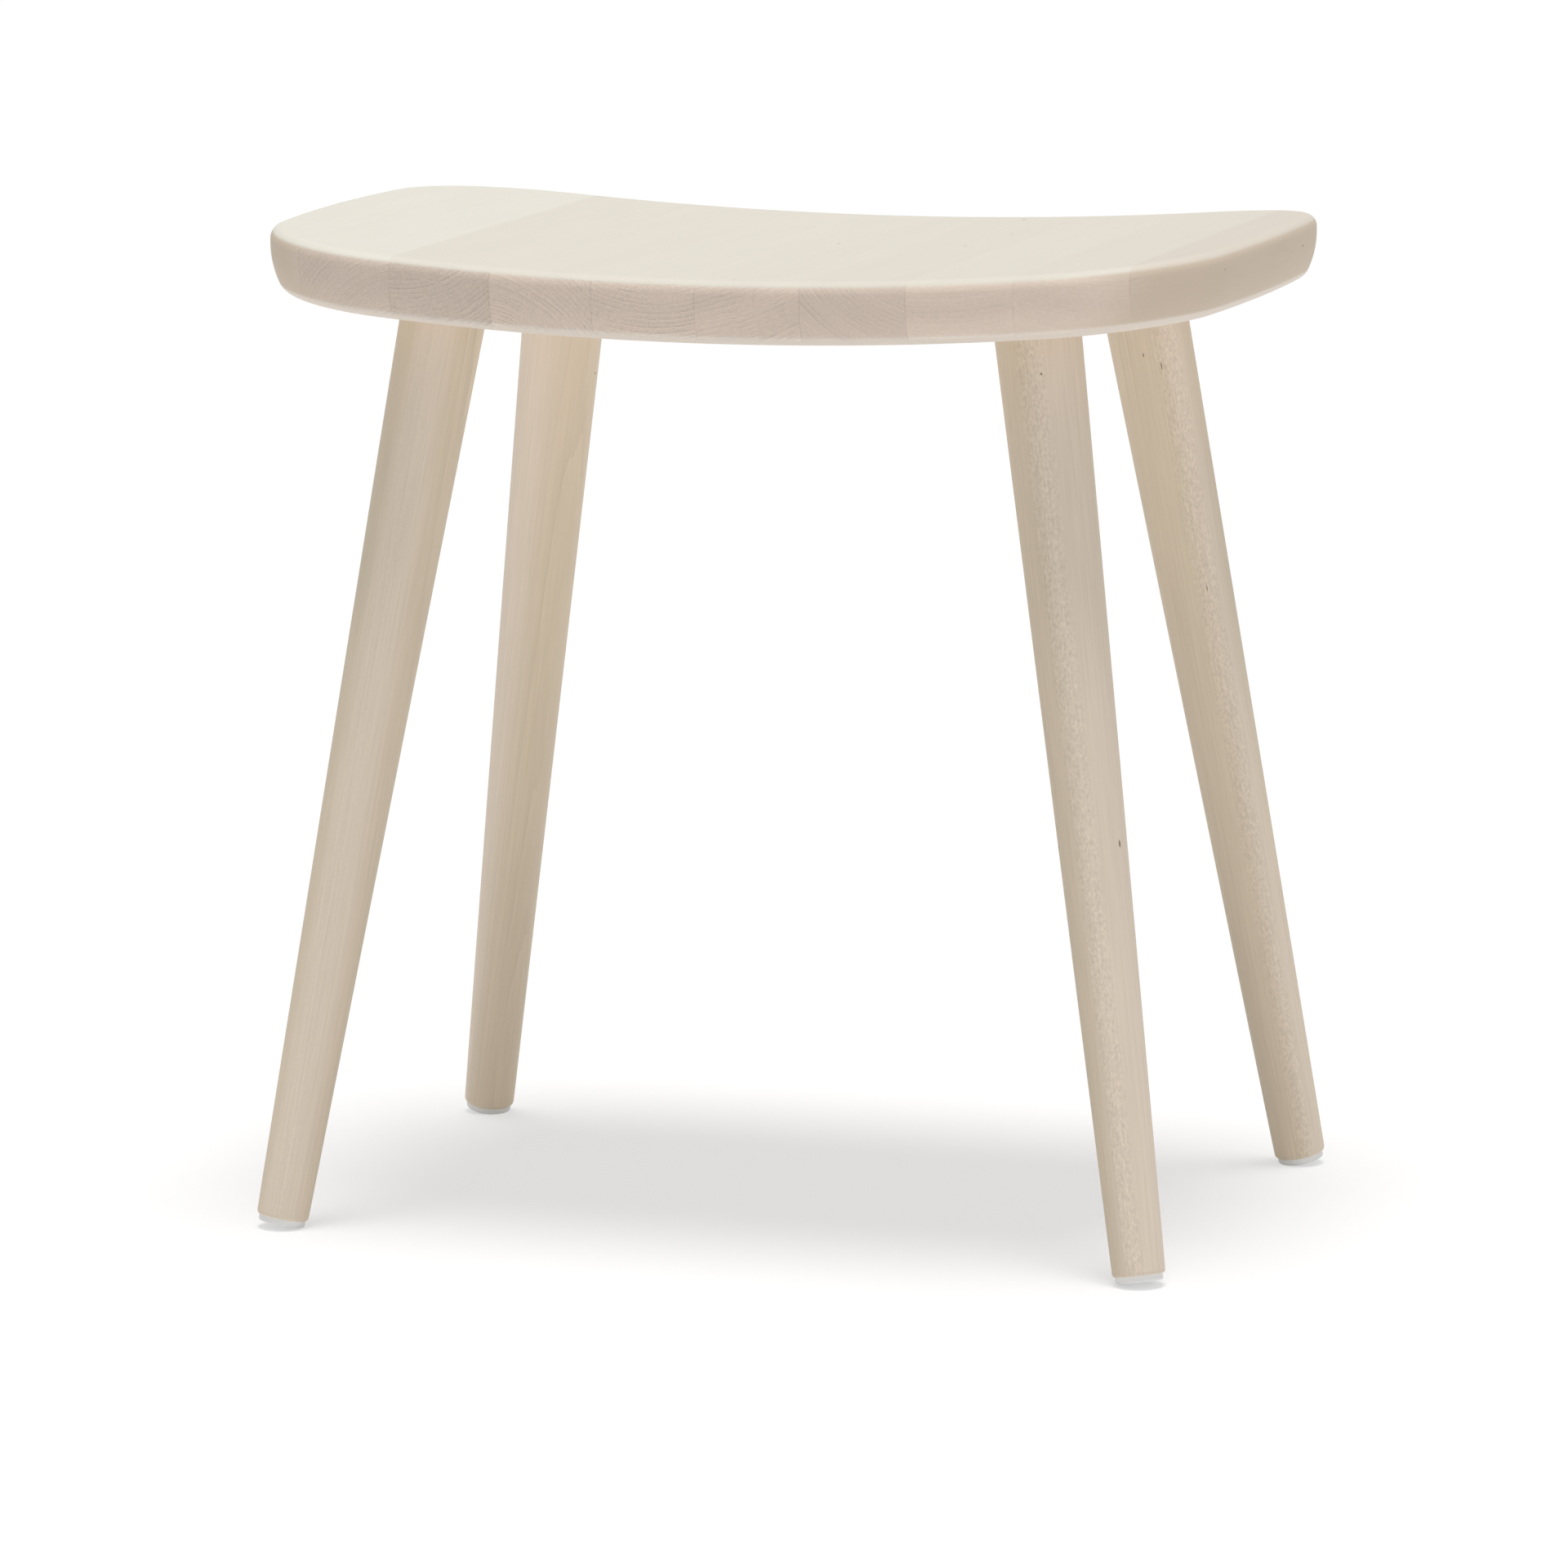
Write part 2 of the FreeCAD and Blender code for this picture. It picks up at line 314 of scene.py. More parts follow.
def shaped(tree, kind, shape, inputs=(), **settings):
    """What a geometry node makes of a shape."""
    node = place(tree, f"GeometryNode{kind}", {"Geometry": shape, **dict(inputs)}, **settings)
    return node.outputs[0]


def new_group(name, kind, inputs):
    """A node group with named inputs, and those inputs as fields."""
    tree = bpy.data.node_groups.new(name, f"{kind}NodeTree")
    for label, socket_type in inputs.items():
        tree.interface.new_socket(label, in_out="INPUT", socket_type=f"NodeSocket{socket_type}")
    given = tree.nodes.new("NodeGroupInput")
    return tree, {label: Field(tree, given.outputs[label]) for label in inputs}


def put_out(tree, socket_type, values):
    """The finished node group, with an output for each named value."""
    for label in values:
        tree.interface.new_socket(label, in_out="OUTPUT", socket_type=f"NodeSocket{socket_type}")
    result = tree.nodes.new("NodeGroupOutput")
    for label, value in values.items():
        join(tree, value, result.inputs[label])
    return tree


def set_inputs(modifier, values):
    """Write a modifier's inputs by name, through each socket's identifier."""
    for item in modifier.node_group.interface.items_tree:
        if item.in_out == "INPUT" and item.name in values:
            modifier[item.identifier] = values[item.name]


def grow(mesh, name, tree, values):
    """A plain mesh object of what a node tree makes of a mesh."""
    seed = bpy.data.objects.new(f"{name}_seed", mesh)
    bpy.context.scene.collection.objects.link(seed)
    modifier = seed.modifiers.new("Build", "NODES")
    modifier.node_group = tree
    set_inputs(modifier, values)
    depsgraph = bpy.context.evaluated_depsgraph_get()
    made = bpy.data.meshes.new_from_object(seed.evaluated_get(depsgraph), depsgraph=depsgraph)
    if not made.polygons:
        raise RuntimeError(f"{name} came out empty")
    made.name = name
    piece = bpy.data.objects.new(name, made)
    bpy.context.scene.collection.objects.link(piece)
    seed.modifiers.remove(modifier)
    bpy.data.objects.remove(seed)
    return piece


def finish_piece(piece, slot, *nodes):
    """Turn a finished piece's faces outwards and seat it in the frame, for the nodes it stands for."""
    shape = bmesh.new()
    shape.from_mesh(piece.data)
    bmesh.ops.recalc_face_normals(shape, faces=shape.faces)
    shape.to_mesh(piece.data)
    shape.free()
    piece.data.set_sharp_from_angle(angle=HARD_EDGE)
    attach(piece, BODY)
    if nodes:
        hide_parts(*nodes)


def leg_matrix(corner):
    """From a leg's own frame, foot on the floor and Z up the leg, to the stool's."""
    seat = bpy.context.scene.stool_seat
    legs = bpy.context.scene.stool_legs
    side = Vector(CORNERS[corner])
    foot = Vector((side.x * legs.foot_spread_x / 2, side.y * legs.foot_spread_y / 2, 0))
    half = legs.socket_spread_x / 2
    height = saddle_axis(seat) - math.sqrt((seat.saddle_radius + seat.thickness) ** 2 - half**2)
    socket = Vector((side.x * half, side.y * legs.socket_spread_y / 2, height))
    turn = (socket - foot).to_track_quat("Z", "Y")
    return Matrix.Translation(foot) @ turn.to_matrix().to_4x4()


def saddle_axis(seat):
    """Height of the saddle cylinder's axis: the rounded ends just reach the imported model's top."""
    drops = [
        math.sqrt((seat.saddle_radius + depth) ** 2 - (CAD_HIGH.x - inset) ** 2)
        for inset, depth in edge_section(seat)
    ]
    return CAD_HIGH.z + min(drops)


def edge_arc(inset, depth, radius, first, last, steps):
    """Points along an arc of the seat's edge, as pairs of inset and depth."""
    angles = [first + (last - first) * step / steps for step in range(steps + 1)]
    return [(inset - radius * math.cos(a), depth + radius * math.sin(a)) for a in angles]


def edge_section(seat):
    """Section of the seat's edge from the top to the underside, as pairs of inset and depth."""
    bottom_centre = seat.thickness - seat.bottom_edge
    change = seat.undercut - seat.bottom_edge
    turn = math.asin((bottom_centre - seat.top_edge - seat.upright) / change)
    start = bottom_centre - change * math.sin(turn)
    inset = seat.undercut - change * math.cos(turn)
    top = edge_arc(seat.top_edge, seat.top_edge, seat.top_edge, -math.pi / 2, 0, TOP_EDGE_STEPS)
    undercut = edge_arc(seat.undercut, start, seat.undercut, 0, turn, UNDERCUT_STEPS)
    bottom = edge_arc(inset, bottom_centre, seat.bottom_edge, turn, math.pi / 2, BOTTOM_EDGE_STEPS)
    return top + undercut + bottom[1:]


def section_mesh(seat):
    """One closed line round a stave's section, with each point's place on the edge as attributes.

    Inset and depth place a point on the edge. Across is 1 at the back edge and -1 at the front.
    """
    edge = edge_section(seat)
    points = [(*edge[0], row) for row in FACE_ROWS]
    points += [(inset, depth, -1) for inset, depth in edge]
    points += [(*edge[-1], -row) for row in FACE_ROWS]
    points += [(inset, depth, 1) for inset, depth in reversed(edge)]
    return line_mesh("stave_section", ("inset", "depth", "across"), points, closed=True)


def outline_half_depth(x, inset, given):
    """Half the seat's depth at x on a line inset from the outline: side bow, corner, end bow."""
    corner = given["Corner Radius"] - inset
    side = ((given["Side Bow Radius"] - inset) ** 2 - x * x).root() + given["Side Centre"]
    from_corner = x - given["Corner X"]
    round_corner = (corner * corner - from_corner * from_corner).root() + given["Corner Y"]
    from_end = x - given["End Centre"]
    end = ((given["End Bow Radius"] - inset) ** 2 - from_end * from_end).root()
    past_side = x.calc("GREATER_THAN", given["Corner X"] + corner * given["Side Cosine"])
    past_corner = x.calc("GREATER_THAN", given["Corner X"] + corner * given["End Cosine"])
    half = side + (round_corner - side) * past_side
    return half + (end - half) * past_corner


def sweep(tree, section, count, label, caps):
    """A skin swept along a line of points, which carry their share of the way as an attribute."""
    line = place(tree, "GeometryNodeCurvePrimitiveLine")
    rail = place(tree, "GeometryNodeResampleCurve", {"Curve": line.outputs[0], "Count": count})
    way = place(tree, "GeometryNodeSplineParameter")
    share = {"Name": label, "Value": way.outputs["Factor"]}
    kinds = {"data_type": "FLOAT", "domain": "POINT"}
    marked = shaped(tree, "StoreNamedAttribute", rail.outputs[0], share, **kinds)
    profile = place(tree, "GeometryNodeMeshToCurve", {"Mesh": section})
    inputs = {"Curve": marked, "Profile Curve": profile.outputs[0], "Fill Caps": caps}
    return place(tree, "GeometryNodeCurveToMesh", inputs).outputs[0]


def hand_out(tree, shape, finish):
    """The finished node tree, which puts out the shape as one mesh with its finish."""
    shape = shaped(tree, "RealizeInstances", shape)
    shape = shaped(tree, "SetMaterial", shape, {"Material": finish})
    return put_out(tree, "Geometry", {"Shape": shape})


def stave_tree(seat_sizes):
    """Node tree that sweeps the section across one stave and lays it on the seat's form."""
    sockets = {"Section": "Geometry", "Columns": "Int", "Finish": "Material"}
    for size in ("Inner Edge", "Outer Edge", "Rounded End", *seat_sizes):
        sockets[size] = "Float"
    tree, given = new_group("Seat Stave", "Geometry", sockets)
    skin = sweep(tree, given["Section"], given["Columns"], "along", caps=True)

    # Where each column lies: evenly from edge to edge, or closing up towards a rounded end
    inset = attribute(tree, "inset")
    step = attribute(tree, "along")
    inner = given["Inner Edge"]
    even = inner + (given["Outer Edge"] - inner) * step
    end = given["Outer Edge"].calc("SIGN") * (given["Half Length"] - inset)
    closing = inner + (end - inner) * (step * (math.pi / 2)).calc("SINE")
    x = even + (closing - even) * given["Rounded End"]
    y = attribute(tree, "across") * outline_half_depth(x.calc("ABSOLUTE"), inset, given)
    rise = ((given["Saddle Radius"] + attribute(tree, "depth")) ** 2 - x * x).root()
    spot = combined(tree, x, y, given["Saddle Axis"] - rise)
    shape = shaped(tree, "SetPosition", skin, {"Position": spot})

    # The cap of a rounded end has no width: it goes, and the two edges that meet there are joined
    closed_end = (given["Rounded End"] * step).calc("GREATER_THAN", LAST_COLUMN)
    shape = shaped(tree, "DeleteGeometry", shape, {"Selection": closed_end}, domain="FACE")
    shape = shaped(tree, "MergeByDistance", shape, {"Distance": SAME_POINT})
    shape = shaped(tree, "SetShadeSmooth", shape)
    return hand_out(tree, shape, given["Finish"])


def outline_values(seat):
    """The outline's circle centres and the directions in which its arcs meet."""
    half_length = CAD_HIGH.x
    half_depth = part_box("seat_stave_05")[1].y
    end_centre = half_length - seat.end_bow
    side_centre = half_depth - seat.side_bow
    # The corner's centre lies its radius inside both bows: where two circles meet.
    to_end = seat.end_bow - seat.corner
    to_side = seat.side_bow - seat.corner
    span = math.hypot(end_centre, side_centre)
    along = (to_end**2 - to_side**2 + span**2) / (2 * span)
    across = math.sqrt(to_end**2 - along**2)
    corner_x = end_centre - (along * end_centre + across * side_centre) / span
    corner_y = (along * side_centre - across * end_centre) / span
    return {
        "Half Length": half_length,
        "Side Bow Radius": seat.side_bow,
        "Side Centre": side_centre,
        "End Bow Radius": seat.end_bow,
        "End Centre": end_centre,
        "Corner Radius": seat.corner,
        "Corner X": corner_x,
        "Corner Y": corner_y,
        "Side Cosine": corner_x / math.hypot(corner_x, corner_y - side_centre),
        "End Cosine": (corner_x - end_centre) / math.hypot(corner_x - end_centre, corner_y),
    }


def turned_tree():
    """Node tree that turns a section about an upright axis and leans it over into its place."""
    sockets = {"Section": "Geometry", "Sides": "Int", "Place": "Vector", "Axis": "Vector"}
    sockets["Finish"] = "Material"
    tree, given = new_group("Turned Piece", "Geometry", sockets)
    skin = sweep(tree, given["Section"], given["Sides"] + 1, "turn", caps=False)
    reach = attribute(tree, "reach")
    angle = attribute(tree, "turn") * (2 * math.pi)
    x = reach * angle.calc("COSINE")
    y = reach * angle.calc("SINE")
    spot = combined(tree, x, y, attribute(tree, "height"))
    shape = shaped(tree, "SetPosition", skin, {"Position": spot})
    shape = shaped(tree, "MergeByDistance", shape, {"Distance": SAME_POINT})
    lean = place(tree, "FunctionNodeAlignRotationToVector", {"Vector": given["Axis"]}, axis="Z")
    pose = {"Translation": given["Place"], "Rotation": lean.outputs[0]}
    shape = shaped(tree, "Transform", shape, pose)
    shape = shaped(tree, "SetShadeSmooth", shape)
    return hand_out(tree, shape, given["Finish"])


def line_mesh(name, columns, points, closed=False):
    """A line of vertices that carries the given values as attributes, one column each.

    The vertices lie a millimetre apart until a node tree places them by those values.
    """
    mesh = bpy.data.meshes.new(name)
    count = len(points)
    links = [(index, (index + 1) % count) for index in range(count if closed else count - 1)]
    mesh.from_pydata([(step * MM, 0, 0) for step in range(count)], links, [])
    for column, label in enumerate(columns):
        values = mesh.attributes.new(label, "FLOAT", "POINT")
        values.data.foreach_set("value", [point[column] for point in points])
    return mesh


def turn_piece(name, points, corner, finish):
    """A round piece on a leg's axis, from the section that it is turned to."""
    matrix = leg_matrix(corner)
    tree = bpy.data.node_groups.get("Turned Piece") or turned_tree()
    axis = matrix.to_3x3() @ Vector((0, 0, 1))
    values = {"Sides": ROUND_SIDES, "Place": matrix.translation, "Axis": axis, "Finish": finish}
    return grow(line_mesh(f"{name}_section", ("reach", "height"), points), name, tree, values)


def packed_section(node, corner):
    """Corners of a turned node's section from the foot up, as (radius, height) along its leg."""
    back = leg_matrix(corner).inverted()
    spots = [back @ vertex.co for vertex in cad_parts[node].data.vertices]
    corners = {(round(spot.z, 5), -round(math.hypot(spot.x, spot.y), 5)) for spot in spots}
    return [(-radius, height) for height, radius in sorted(corners)]


def rounded_foot(radius, low, reach, rise):
    """Points round a lower edge, from the sole to the side, as (radius, height)."""
    turns = [math.pi / 2 * step / FOOT_EDGE_STEPS for step in range(FOOT_EDGE_STEPS + 1)]
    return [(radius - reach * (1 - math.sin(a)), low + rise * (1 - math.cos(a))) for a in turns]


def glide_points(glide, low, high):
    """Section of a glide: a recess for the nail's head, a rounded lower edge and a flat top."""
    radius = glide.diameter / 2
    recess = glide.recess / 2
    points = [(0, low + glide.recess_depth), (recess, low + glide.recess_depth), (recess, low)]
    points += rounded_foot(radius, low, glide.edge, glide.edge)
    return [*points, (radius, high), (0, high)]


def nail_tree():
    """Node tree that sets a nail head on each point, square to the leg that it is driven into."""
    sockets = {"Places": "Geometry", "Head Diameter": "Float", "Head Thickness": "Float"}
    sockets["Finish"] = "Material"
    tree, given = new_group("Nail Heads", "Geometry", sockets)
    radius = given["Head Diameter"] / 2
    sizes = {"Vertices": NAIL_SIDES, "Radius": radius, "Depth": given["Head Thickness"]}
    head = place(tree, "GeometryNodeMeshCylinder", sizes)
    lean = place(tree, "GeometryNodeInputNamedAttribute", {"Name": "lean"}, data_type="FLOAT_VECTOR")
    turn = place(tree, "FunctionNodeAlignRotationToVector", {"Vector": lean.outputs[0]}, axis="Z")
    heads = place(
        tree,
        "GeometryNodeInstanceOnPoints",
        {"Points": given["Places"], "Instance": head.outputs["Mesh"], "Rotation": turn.outputs[0]},
    )
    return hand_out(tree, heads.outputs[0], given["Finish"])


def scaled(tree, vector, scale):
    """A vector multiplied part by part by one of the named scales."""
    return vector_math(tree, "MULTIPLY", vector, SCALES[scale]).outputs[0]


def noise(tree, vector, scale, detail=2):
    """Soft noise about 0, at one of the named scales."""
    inputs = {"Vector": scaled(tree, vector, scale), "Scale": 1, "Detail": detail}
    node = place(tree, "ShaderNodeTexNoise", inputs)
    return Field(tree, node.outputs[0]) - NOISE_MIDDLE


def line_noise(tree, value, scale, detail=2):
    """Soft noise about 0 along a single value."""
    inputs = {"W": value, "Scale": scale, "Detail": detail}
    node = place(tree, "ShaderNodeTexNoise", inputs, noise_dimensions="1D")
    return Field(tree, node.outputs[0]) - NOISE_MIDDLE


def rings_group():
    """Shader group of growth rings round the heart of the log, which is local Z."""
    sockets = {"Vector": "Vector", "Ring Width": "Float", "Wander": "Float"}
    tree, given = new_group("Growth Rings", "Shader", sockets)
    spot = given["Vector"]
    wander = given["Wander"]
    across, up, along = parts_of(tree, spot)
    even = (across * across + up * up).root() + noise(tree, spot, "broad wander", 1) * wander
    radius = even
    for scale, share in FINER_WANDERS.items():
        radius = radius + noise(tree, spot, scale, 1) * wander * share
    turns = radius / given["Ring Width"]
    count = turns + line_noise(tree, turns, SPACING_WAVES) * SPACING_STRAY
    phase = count.calc("FRACT")
    pale = (1 - phase) ** EARLY_POWER * EARLY_STRENGTH
    patches = noise(tree, spot, "ring patches", 1).between(*LIMITS["ring patches"])
    clear = patches * PATCH_FADE + (1 - PATCH_FADE)
    rolled = combined(tree, turns, up.calc("ARCTAN2", across), along)
    values = {
        "Late Wood": (phase**LATE_POWER - pale) * clear,
        "Tone": line_noise(tree, turns, TONE_WAVES, 1),
        "Ripple": noise(tree, rolled, "ring ripple", 1),
        "Radius": even,
    }
    return put_out(tree, "Float", values)


def fibre_group():
    """Shader group of fine fibres, soft clouds, rays and flecks. Local Z runs along the grain.

    Rays run out from the heart, so they show as short dashes where the surface does too.
    """
    tree, given = new_group("Wood Fibre", "Shader", {"Vector": "Vector", "Normal": "Vector"})
    spot = given["Vector"]
    across, up, _ = parts_of(tree, spot)
    tangent = vector_math(tree, "NORMALIZE", combined(tree, up * -1, across, 0)).outputs[0]
    facing = vector_math(tree, "DOT_PRODUCT", tangent, given["Normal"]).outputs["Value"]
    quartered = Field(tree, facing).calc("ABSOLUTE").between(*LIMITS["quartered"])
    dashes = noise(tree, spot, "ray dashes")
    curls = dashes.between(*LIMITS["ray dashes"]) - (dashes * -1).between(*LIMITS["ray dashes"])
    cells = place(tree, "ShaderNodeTexVoronoi", {"Vector": scaled(tree, spot, "fleck cells"), "Scale": 1})
    chosen = parts_of(tree, cells.outputs["Color"])[0].between(*LIMITS["fleck cells"])
    middle = 1 - Field(tree, cells.outputs["Distance"]).between(*LIMITS["fleck size"])
    values = {
        "Fibre": noise(tree, spot, "fibre"),
        "Clouds": noise(tree, spot, "clouds"),
        "Rays": curls * quartered,
        "Flecks": middle * chosen,
    }
    return put_out(tree, "Float", values)


def mark_group():
    """Shader group of one dark mark, longer along the grain than across it."""
    sockets = {"Vector": "Vector", "Place": "Vector", "Size": "Vector"}
    tree, given = new_group("Dark Mark", "Shader", sockets)
    away = vector_math(tree, "SUBTRACT", given["Vector"], given["Place"]).outputs[0]
    ratio = vector_math(tree, "DIVIDE", away, given["Size"]).outputs[0]
    reach = vector_math(tree, "LENGTH", ratio).outputs["Value"]
    return put_out(tree, "Float", {"Mark": 1 - Field(tree, reach).between(*LIMITS["mark size"])})


def glue_group():
    """Shader group of the fine line where a stave meets its neighbours."""
    sockets = {"Vector": "Vector", "Left": "Float", "Right": "Float", "Width": "Float"}
    tree, given = new_group("Glue Line", "Shader", sockets)
    x = parts_of(tree, given["Vector"])[0]
    nearest = (x - given["Left"]).calc("MINIMUM", given["Right"] - x)
    gaps = noise(tree, given["Vector"], "glue gaps", 1).between(*LIMITS["glue gaps"])
    broken = gaps * GLUE_FADE + (1 - GLUE_FADE)
    return put_out(tree, "Float", {"Line": (1 - nearest.between(0, given["Width"])) * broken})


GROUP_MAKERS = {
    "Growth Rings": rings_group,
    "Wood Fibre": fibre_group,
    "Dark Mark": mark_group,
    "Glue Line": glue_group,
}


def use_group(tree, name, inputs):
    """A shader group in a material, made the first time that it is used."""
    group = bpy.data.node_groups.get(name) or GROUP_MAKERS[name]()
    return place(tree, "ShaderNodeGroup", inputs, node_tree=group)


def blend(tree, first, second, amount):
    """From the first colour to the second as the amount goes from 0 to 1."""
    node = tree.nodes.new("ShaderNodeMix")
    node.data_type = "RGBA"
    sockets = {socket.identifier: socket for socket in node.inputs}
    join(tree, amount, sockets["Factor_Float"])
    for key, colour in (("A_Color", first), ("B_Color", second)):
        join(tree, colour if isinstance(colour, bpy.types.NodeSocket) else (*colour, 1), sockets[key])
    return next(socket for socket in node.outputs if socket.identifier == "Result_Color")


def new_material(name):
    """A material with its tree, its surface shader and the piece's own coordinates."""
    material = bpy.data.materials.new(name)
    material.use_nodes = True
    tree = material.node_tree
    return material, tree, tree.nodes["Principled BSDF"], place(tree, "ShaderNodeTexCoord")


def shaded(tree, colour, factor):
    """A colour made lighter or darker by a factor."""
    return place(tree, "ShaderNodeVectorMath", {0: colour, "Scale": factor}, operation="SCALE").outputs[0]


def emboss(tree, surface, relief, bump):
    """Give a surface a bump of the given strength and depth."""
    strength, depth = bump
    raised = place(tree, "ShaderNodeBump", {"Strength": strength, "Distance": depth, "Height": relief})
    join(tree, raised.outputs[0], surface.inputs["Normal"])


def oil_wood(tree, surface, colour, roughness, relief, bump):
    """Give oiled wood its colour, roughness, dull gloss and bump."""
    join(tree, colour, surface.inputs["Base Color"])
    join(tree, roughness, surface.inputs["Roughness"])
    surface.inputs["Specular IOR Level"].default_value = WOOD_SPECULAR
    emboss(tree, surface, relief, bump)


def by_grain(end_grain, along, across):
    """From its value along the grain to its value across it."""
    return end_grain * (across - along) + along


class Log:
    """One piece's place in the log that it was cut from, whose heart is local Z, and its grain."""

    def __init__(self, tree, here, to_log, wood, wander):
        turn = to_log.to_euler()
        inputs = {"Vector": here.outputs["Object"], "Location": to_log.translation, "Rotation": turn}
        self.tree = tree
        self.to_log = to_log
        self.spot = place(tree, "ShaderNodeMapping", inputs).outputs[0]
        inputs = {"Vector": here.outputs["Normal"], "Rotation": turn}
        self.normal = place(tree, "ShaderNodeMapping", inputs, vector_type="VECTOR").outputs[0]
        rings = {"Vector": self.spot, "Ring Width": wood.ring_width, "Wander": wander}
        fibre = {"Vector": self.spot, "Normal": self.normal}
        groups = (use_group(tree, "Growth Rings", rings), use_group(tree, "Wood Fibre", fibre))
        self.grain = {socket.name: Field(tree, socket) for group in groups for socket in group.outputs}

    def weigh(self, weights):
        """The sum of the named parts of the grain, each times its weight."""
        parts = [self.grain[name] * weight for name, weight in weights.items()]
        return sum(parts[1:], parts[0])

    def mark_all(self, colour, dark, marks):
        """The colour with each dark mark on it."""
        for x, y, z, length, width in marks:
            spot = self.to_log @ (Vector((x, y, z)) * MM)
            size = Vector((width, width, length)) * MM
            mark = use_group(self.tree, "Dark Mark", {"Vector": self.spot, "Place": spot, "Size": size})
            amount = Field(self.tree, mark.outputs[0]) * MARK_STRENGTH
            colour = blend(self.tree, colour, dark, amount)
        return colour


def stave_birch(name, to_log, wood, log, joints):
    """White-oiled birch, cut both along and across the grain, with painted shade: its sides and underside
    are coloured darker and warmer than its top.
    """
    pale, warmth, clearness = log
    left, right = joints
    material, tree, surface, here = new_material(f"birch_{name}")
    cut = Log(tree, here, to_log, wood, STAVE_WANDER)
    end_grain = parts_of(tree, cut.normal)[2].calc("ABSOLUTE").between(*LIMITS["end grain"])
    across = cut.weigh(END_RINGS) * clearness + cut.weigh(END_SHADE) + pale
    shade = by_grain(end_grain, cut.weigh(ALONG_SHADE), across) + 1
    rise = parts_of(tree, here.outputs["Normal"])[2]
    cream = [cool + (warm - cool) * warmth for cool, warm in zip(wood.cream, wood.warm_cream)]
    # Sideways faces keep the edge colours, painted darker and warmer than the top as shade; across the
    # grain this is partly the end grain's own tone
    base = blend(tree, wood.shaded_side_edge, wood.edge, end_grain)
    base = blend(tree, base, cream, rise.between(*LIMITS["top"]))
    # Faces that point down take the underside colour, a painted warm shade
    base = blend(tree, base, wood.underside, (rise * -1).between(*LIMITS["underside"]))
    flecks = cut.grain["Flecks"] * by_grain(end_grain, *FLECK_STRENGTH)
    colour = blend(tree, shaded(tree, base, shade), wood.fleck, flecks)
    inputs = {"Vector": here.outputs["Object"], "Left": left, "Right": right, "Width": GLUE_WIDTH}
    line = Field(tree, use_group(tree, "Glue Line", inputs).outputs[0])
    colour = blend(tree, colour, wood.fleck, line * by_grain(end_grain, *GLUE_STRENGTH))
    colour = cut.mark_all(colour, wood.fleck, MARKS.get(name, ()))
    roughness = cut.weigh(STAVE_ROUGHNESS) + end_grain * END_ROUGHNESS + wood.roughness
    relief = cut.weigh(END_RELIEF) * end_grain * clearness + cut.weigh(STAVE_RELIEF)
    oil_wood(tree, surface, colour, roughness, relief, STAVE_BUMP)
    return material


def leg_birch(name, to_log, wood, log):
    """White-oiled birch turned along the grain, with one pinkish and one tan growth."""
    distance, middle, half_width, pale, ray_strength = log
    material, tree, surface, here = new_material(f"birch_{name}")
    cut = Log(tree, here, to_log, wood, LEG_WANDER)
    off_middle = (cut.grain["Radius"] - (distance + middle) * MM).calc("ABSOLUTE")
    tan = off_middle.between(*((half_width + fade) * MM for fade in PINK_FADE))
    base = blend(tree, wood.leg_pink, wood.leg_tan, tan)
    shade = cut.weigh({**LEG_SHADE, "Rays": ray_strength}) + (1 + pale)
    flecks = cut.grain["Flecks"] * FLECK_STRENGTH[0]
    colour = blend(tree, shaded(tree, base, shade), wood.fleck, flecks)
    colour = cut.mark_all(colour, wood.fleck, MARKS.get(name, ()))
    roughness = cut.weigh(LEG_ROUGHNESS) + wood.roughness
    oil_wood(tree, surface, colour, roughness, cut.weigh(LEG_RELIEF), LEG_BUMP)
    return material


def speckled(name, colour, scale, looks):
    """A material that varies a little from spot to spot, with its tree, surface and speckle."""
    detail, shading, roughness, roughening = looks
    material, tree, surface, here = new_material(name)
    speckle = noise(tree, here.outputs["Object"], scale, detail)
    join(tree, shaded(tree, colour, speckle * shading + 1), surface.inputs["Base Color"])
    join(tree, speckle * roughening + roughness, surface.inputs["Roughness"])
    return material, tree, surface, speckle


def glide_plastic(colour):
    """Off-white moulded plastic with a faint texture."""
    material, tree, surface, speckle = speckled("glide_plastic", colour, "plastic", PLASTIC_SPECKLE)
    emboss(tree, surface, speckle, PLASTIC_BUMP)
    return material


def nail_zinc(colour):
    """Dull zinc-plated steel."""
    material, _, surface, _ = speckled("nail_zinc", colour, "zinc", ZINC_SPECKLE)
    surface.inputs["Metallic"].default_value = 1
    return material


def number_setting(label, default, description, **details):
    """A number that a user may change."""
    return bpy.props.FloatProperty(name=label, description=description, default=default, **details)


def length_setting(label, default, description):
    """A length that a user may change, in metres."""
    return number_setting(label, default, description, unit="LENGTH", precision=4)


def share_setting(label, default, description):
    """A share from 0 to 1 that a user may change."""
    return number_setting(label, default, description, subtype="FACTOR", min=0, max=1)


def colour_setting(label, default, description):
    """A colour that a user may change."""
    return bpy.props.FloatVectorProperty(
        name=label, description=description, default=default, subtype="COLOR", min=0, max=1
    )


